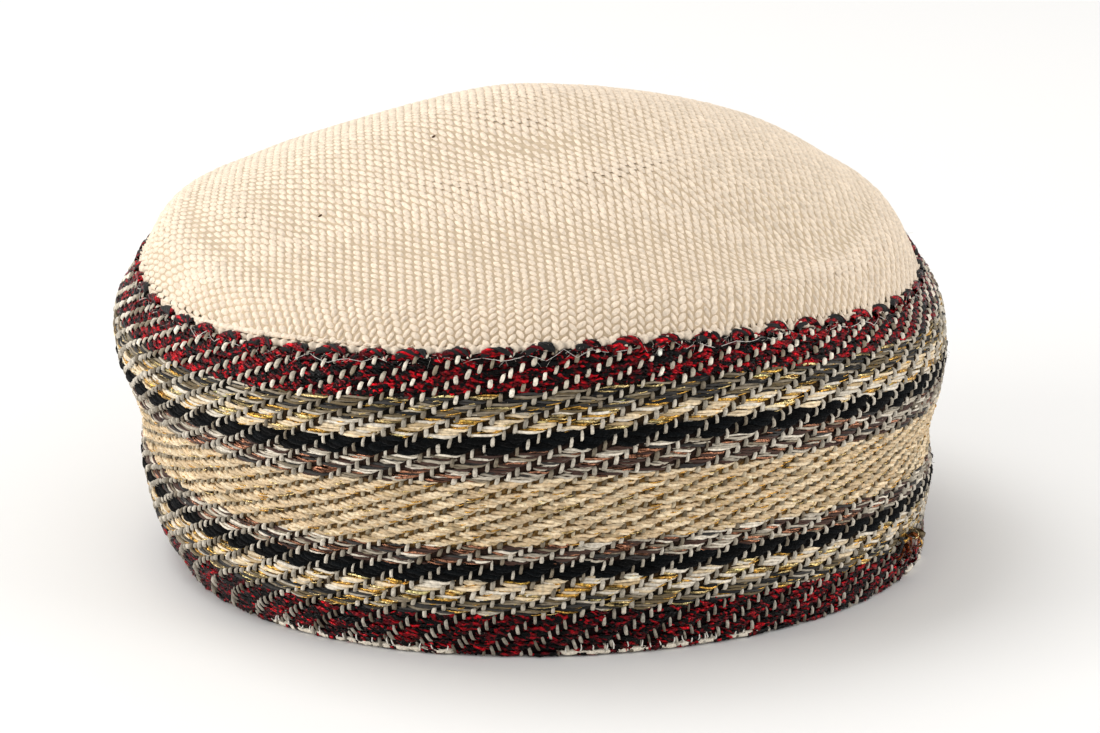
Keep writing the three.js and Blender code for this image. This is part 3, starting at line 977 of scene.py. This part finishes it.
def picots():
    """The loops of the top edge, one for each float of the last pick, each a rope of strands."""
    count, strands, rings = WARPS // TWILL, 6, 9
    along = np.linspace(-1, 1, rings)
    turn = TURN * (np.arange(strands) / strands + rng.random((count, 1)))[:, :, None] + 2.6 * along
    last_pick = len(PICK_HEIGHT) - 1
    centre = TWILL * np.arange(count) + last_pick + 0.6 + 0.15 * chance(count)
    centre = centre * WARP_PITCH
    right_side = smoothstep(np.sin(centre), -0.4, 0.7)
    tall = (0.7 + 0.7 * right_side) * uneven(count, 0.2)
    half = (1.35 + 0.10 * chance(count)) * WARP_PITCH
    rise = tall[:, None, None] * (1 - along**2) ** 0.6 + 0.2
    angle = centre[:, None, None] + half[:, None, None] * along * np.ones((1, strands, 1))
    angle = angle + rise / SEAM_RADIUS * 0.5
    here, round_it, _, out = band_frame(angle, np.full(angle.shape, SEAM_HEIGHT - 0.6))
    inward = -unit(out * np.array([1, 1, 0]))
    up = np.array([0.0, 0.0, 1.0])
    path = here + (rise + 0.5 * np.cos(turn))[..., None] * (up * 0.9 + inward * 0.6)
    path = path + out * (0.5 * np.sin(turn) - 0.1)[..., None]
    thick = 0.5 * uneven((count, strands, 1), 0.1) * np.ones(rings)
    tint, kind = float_tints(LOOP, count, strands, rings, 0.0)
    side = unit(np.cross(round_it, np.broadcast_to(inward, path.shape)))
    path, side, inward, thick, tint = [by_tube(a) for a in (path, side, inward, thick, tint)]
    return tubes(path, side, inward, thick, thick, tint, kind.ravel(), sides=5)


def sewing_thread():
    """A thin zigzag just below the edge."""
    turns, steps = 74, 6
    count = turns * steps
    place = np.arange(count + 1) / steps
    angle = place * TURN / turns + 0.01 * np.sin(place * 2.3)
    zigzag = 2 * np.abs(2 * (place % 1) - 1) - 1
    height = 65.5 + (0.6 + 0.4 * np.sin(place * 1.7)) * zigzag + 0.3 * np.sin(place * 0.9)
    here, _, rising, out = band_frame(angle, height)
    lift = 0.10 - 0.5 * np.abs(zigzag) ** 6 + 0.5 * np.sin(place * 1.3) + 0.1 * chance(count + 1)
    lift = np.clip(lift, -1.2, 0.4)
    path = here + out * lift[:, None]
    tint = linear((0.93, 0.91, 0.88))
    return tubes(path[None], rising[None], out[None], 0.07, 0.07, tint, WARP, sides=3)


band_piece("edge_loops", picots())
band_piece("edge_thread", sewing_thread())


# Fuzz along the seam and on the black wool, and the frayed knot low on the right.


def hairs(angle, height, lift, length, tint, thick=0.045):
    """Loose fibres that rise from the band in chance directions and bend."""
    count, rings = len(angle), 4
    along = np.linspace(0, 1, rings)
    here, round_it, rising, out = band_frame(angle, height)
    heading = chance(count, 3)
    heading = unit(heading[:, :1] * round_it + heading[:, 1:2] * rising + np.abs(heading[:, 2:]) * out * 0.6)
    bend = unit(chance(count, 3))
    start = here + out * lift
    path = start[:, None] + length[:, None, None] * (
        heading[:, None] * along[None, :, None] + 0.35 * bend[:, None] * (along**2)[None, :, None]
    )
    side = unit(np.cross(heading, bend))
    up = unit(np.cross(side, heading))
    wide = thick * (1 - 0.6 * along)
    return tubes(path, side[:, None], up[:, None], wide, wide, linear(tint), WOOL, sides=3)


def spread(count, low, high):
    """Chance numbers between low and high."""
    return low + (high - low) * rng.random(count)


# how many fibres, their lowest and highest place, their least and greatest length, and their colour
FUZZ = (
    (500, (64.9, 66.8), (0.8, 2.0), (0.90, 0.87, 0.82)),
    (700, (18.6, 21.6), (0.4, 1.0), (0.06, 0.06, 0.07)),
    (700, (46.3, 49.1), (0.4, 1.0), (0.06, 0.06, 0.07)),
)
fuzz_parts = [
    hairs(spread(count, 0, TURN), spread(count, *places), 0.2, spread(count, *lengths), colour)
    for count, places, lengths, colour in FUZZ
]
band_piece("fuzz", *fuzz_parts)

# angle in degrees, height, reach, loop width, turn and colour of each loop of the knot
TUFT_LOOPS = (
    (66, 12.6, 2.2, 1.3, 20, "gold"),
    (69, 12.2, 2.8, 1.2, 60, "pale gold"),
    (67, 10.6, 2.6, 2.0, 80, "umber"),
    (70, 10.2, 3.0, 1.6, 100, "rust"),
    (65, 11.2, 1.6, 1.6, 90, "black"),
    (65.5, 9.0, 1.8, 1.6, 70, "umber"),
    (71, 11.6, 3.4, 0.9, 10, "olive"),
    (68, 8.2, 2.4, 1.6, 110, "umber"),
    (70, 6.8, 2.6, 1.5, 80, "crimson"),
    (72, 8.6, 3.0, 1.2, 95, "gold"),
    (71, 5.2, 2.2, 1.6, 120, "dark red"),
    (67.5, 6.2, 2.0, 1.4, 60, "crimson"),
)


def tuft():
    """Loose loops of yarn that stand off the band near its right end."""
    rings = 12
    table = np.array([row[:5] for row in TUFT_LOOPS], float)
    here, round_it, rising, out = band_frame(np.radians(table[:, 0]), table[:, 1])
    turn = np.radians(table[:, 4])[:, None]
    across = round_it * np.cos(turn) + rising * np.sin(turn)
    swing = np.linspace(0, TURN, rings)
    reach = table[:, 2][:, None] * (1 - np.cos(swing)) / 2
    width = table[:, 3][:, None] * np.sin(swing)
    path = here[:, None] + out[:, None] * (reach - 0.3)[..., None] + across[:, None] * width[..., None]
    path = path + 0.12 * chance(*path.shape)
    side = unit(np.cross(across, out))[:, None]
    up = unit(out[:, None] * np.sin(swing)[None, :, None] + across[:, None] * np.cos(swing)[None, :, None])
    names = [row[5] for row in TUFT_LOOPS]
    thick = np.array([0.5 if "gold" in name else 0.7 for name in names])[:, None]
    tint = np.array([linear(COLOURS[name]) for name in names])
    yarn_of = {"crimson": SILK, "dark red": SILK, "black": WARP, "olive": WARP}
    kind = [yarn_of.get(name, METAL) for name in names]
    return tubes(path, side, up, thick, thick, tint, kind, sides=5)


band_piece("frayed_knot", tuft())


# The floor, the light and the camera.


def floor_material():
    """A plain pale floor with the faintest clouds in it."""
    m, tree, shader = material("floor")
    stops = ((0.0, (0.924, 0.922, 0.918)), (1.0, (0.930, 0.928, 0.925)))
    tree.links.new(ramp(tree, noise(tree, 3.0, 2.0), stops), shader.inputs["Base Color"])
    shader.inputs["Roughness"].default_value = 0.75
    shader.inputs["Specular IOR Level"].default_value = 0.2
    return m


# metres
FLOOR_HALF = 9
FLOOR_CORNERS = [(x * FLOOR_HALF, y * FLOOR_HALF, 0) for x, y in ((-1, -1), (1, -1), (1, 1), (-1, 1))]
floor_mesh = bpy.data.meshes.new("floor")
floor_mesh.from_pydata(FLOOR_CORNERS, [], [(0, 1, 2, 3)])
floor_mesh.materials.append(floor_material())
floor = bpy.data.objects.new("floor", floor_mesh)
bpy.context.scene.collection.objects.link(floor)

world = bpy.data.worlds.new("studio")
bpy.context.scene.world = world
world.use_nodes = True
background = world.node_tree.nodes["Background"]
background.inputs["Color"].default_value = (1.0, 0.995, 0.985, 1)
background.inputs["Strength"].default_value = 0.80

# name, place and target in metres, size, power, colour
LIGHTS = (
    ("key", (-0.5, 0.3, 1.25), (0, 0, 0.04), 0.75, 7.0, (1.0, 0.985, 0.965)),
    ("right", (1.3, -0.5, 0.35), (0, 0, 0.04), 0.7, 7.0, (1.0, 0.99, 0.975)),
    ("left", (-1.35, -0.35, 0.32), (0, 0, 0.04), 0.7, 12.0, (1.0, 0.985, 0.965)),
)


def aim(obj, place, target):
    """Puts a lamp or camera at a place and turns it to the target."""
    direction = Vector(target) - Vector(place)
    obj.location = place
    obj.rotation_mode = "QUATERNION"
    obj.rotation_quaternion = direction.to_track_quat("-Z", "Y")


for name, place, target, size, power, colour in LIGHTS:
    light = bpy.data.lights.new(name, "AREA")
    light.size = size
    light.energy = power
    light.color = colour
    lamp = bpy.data.objects.new(name, light)
    bpy.context.scene.collection.objects.link(lamp)
    aim(lamp, place, target)

CAMERA_TARGET = (0.00424, -0.0008, 0.0393)
CAMERA_DISTANCE = 1.0
CAMERA_ELEVATION = math.radians(17)
camera = bpy.data.objects.new("camera", bpy.data.cameras.new("camera"))
bpy.context.scene.collection.objects.link(camera)
camera.data.sensor_width = 36
camera.data.lens = 145.3
camera.data.clip_start = 0.05
camera_place = (
    CAMERA_TARGET[0],
    CAMERA_TARGET[1] - CAMERA_DISTANCE * math.cos(CAMERA_ELEVATION),
    CAMERA_TARGET[2] + CAMERA_DISTANCE * math.sin(CAMERA_ELEVATION),
)
aim(camera, camera_place, CAMERA_TARGET)
bpy.context.scene.camera = camera
bpy.context.scene.view_settings.view_transform = "Standard"
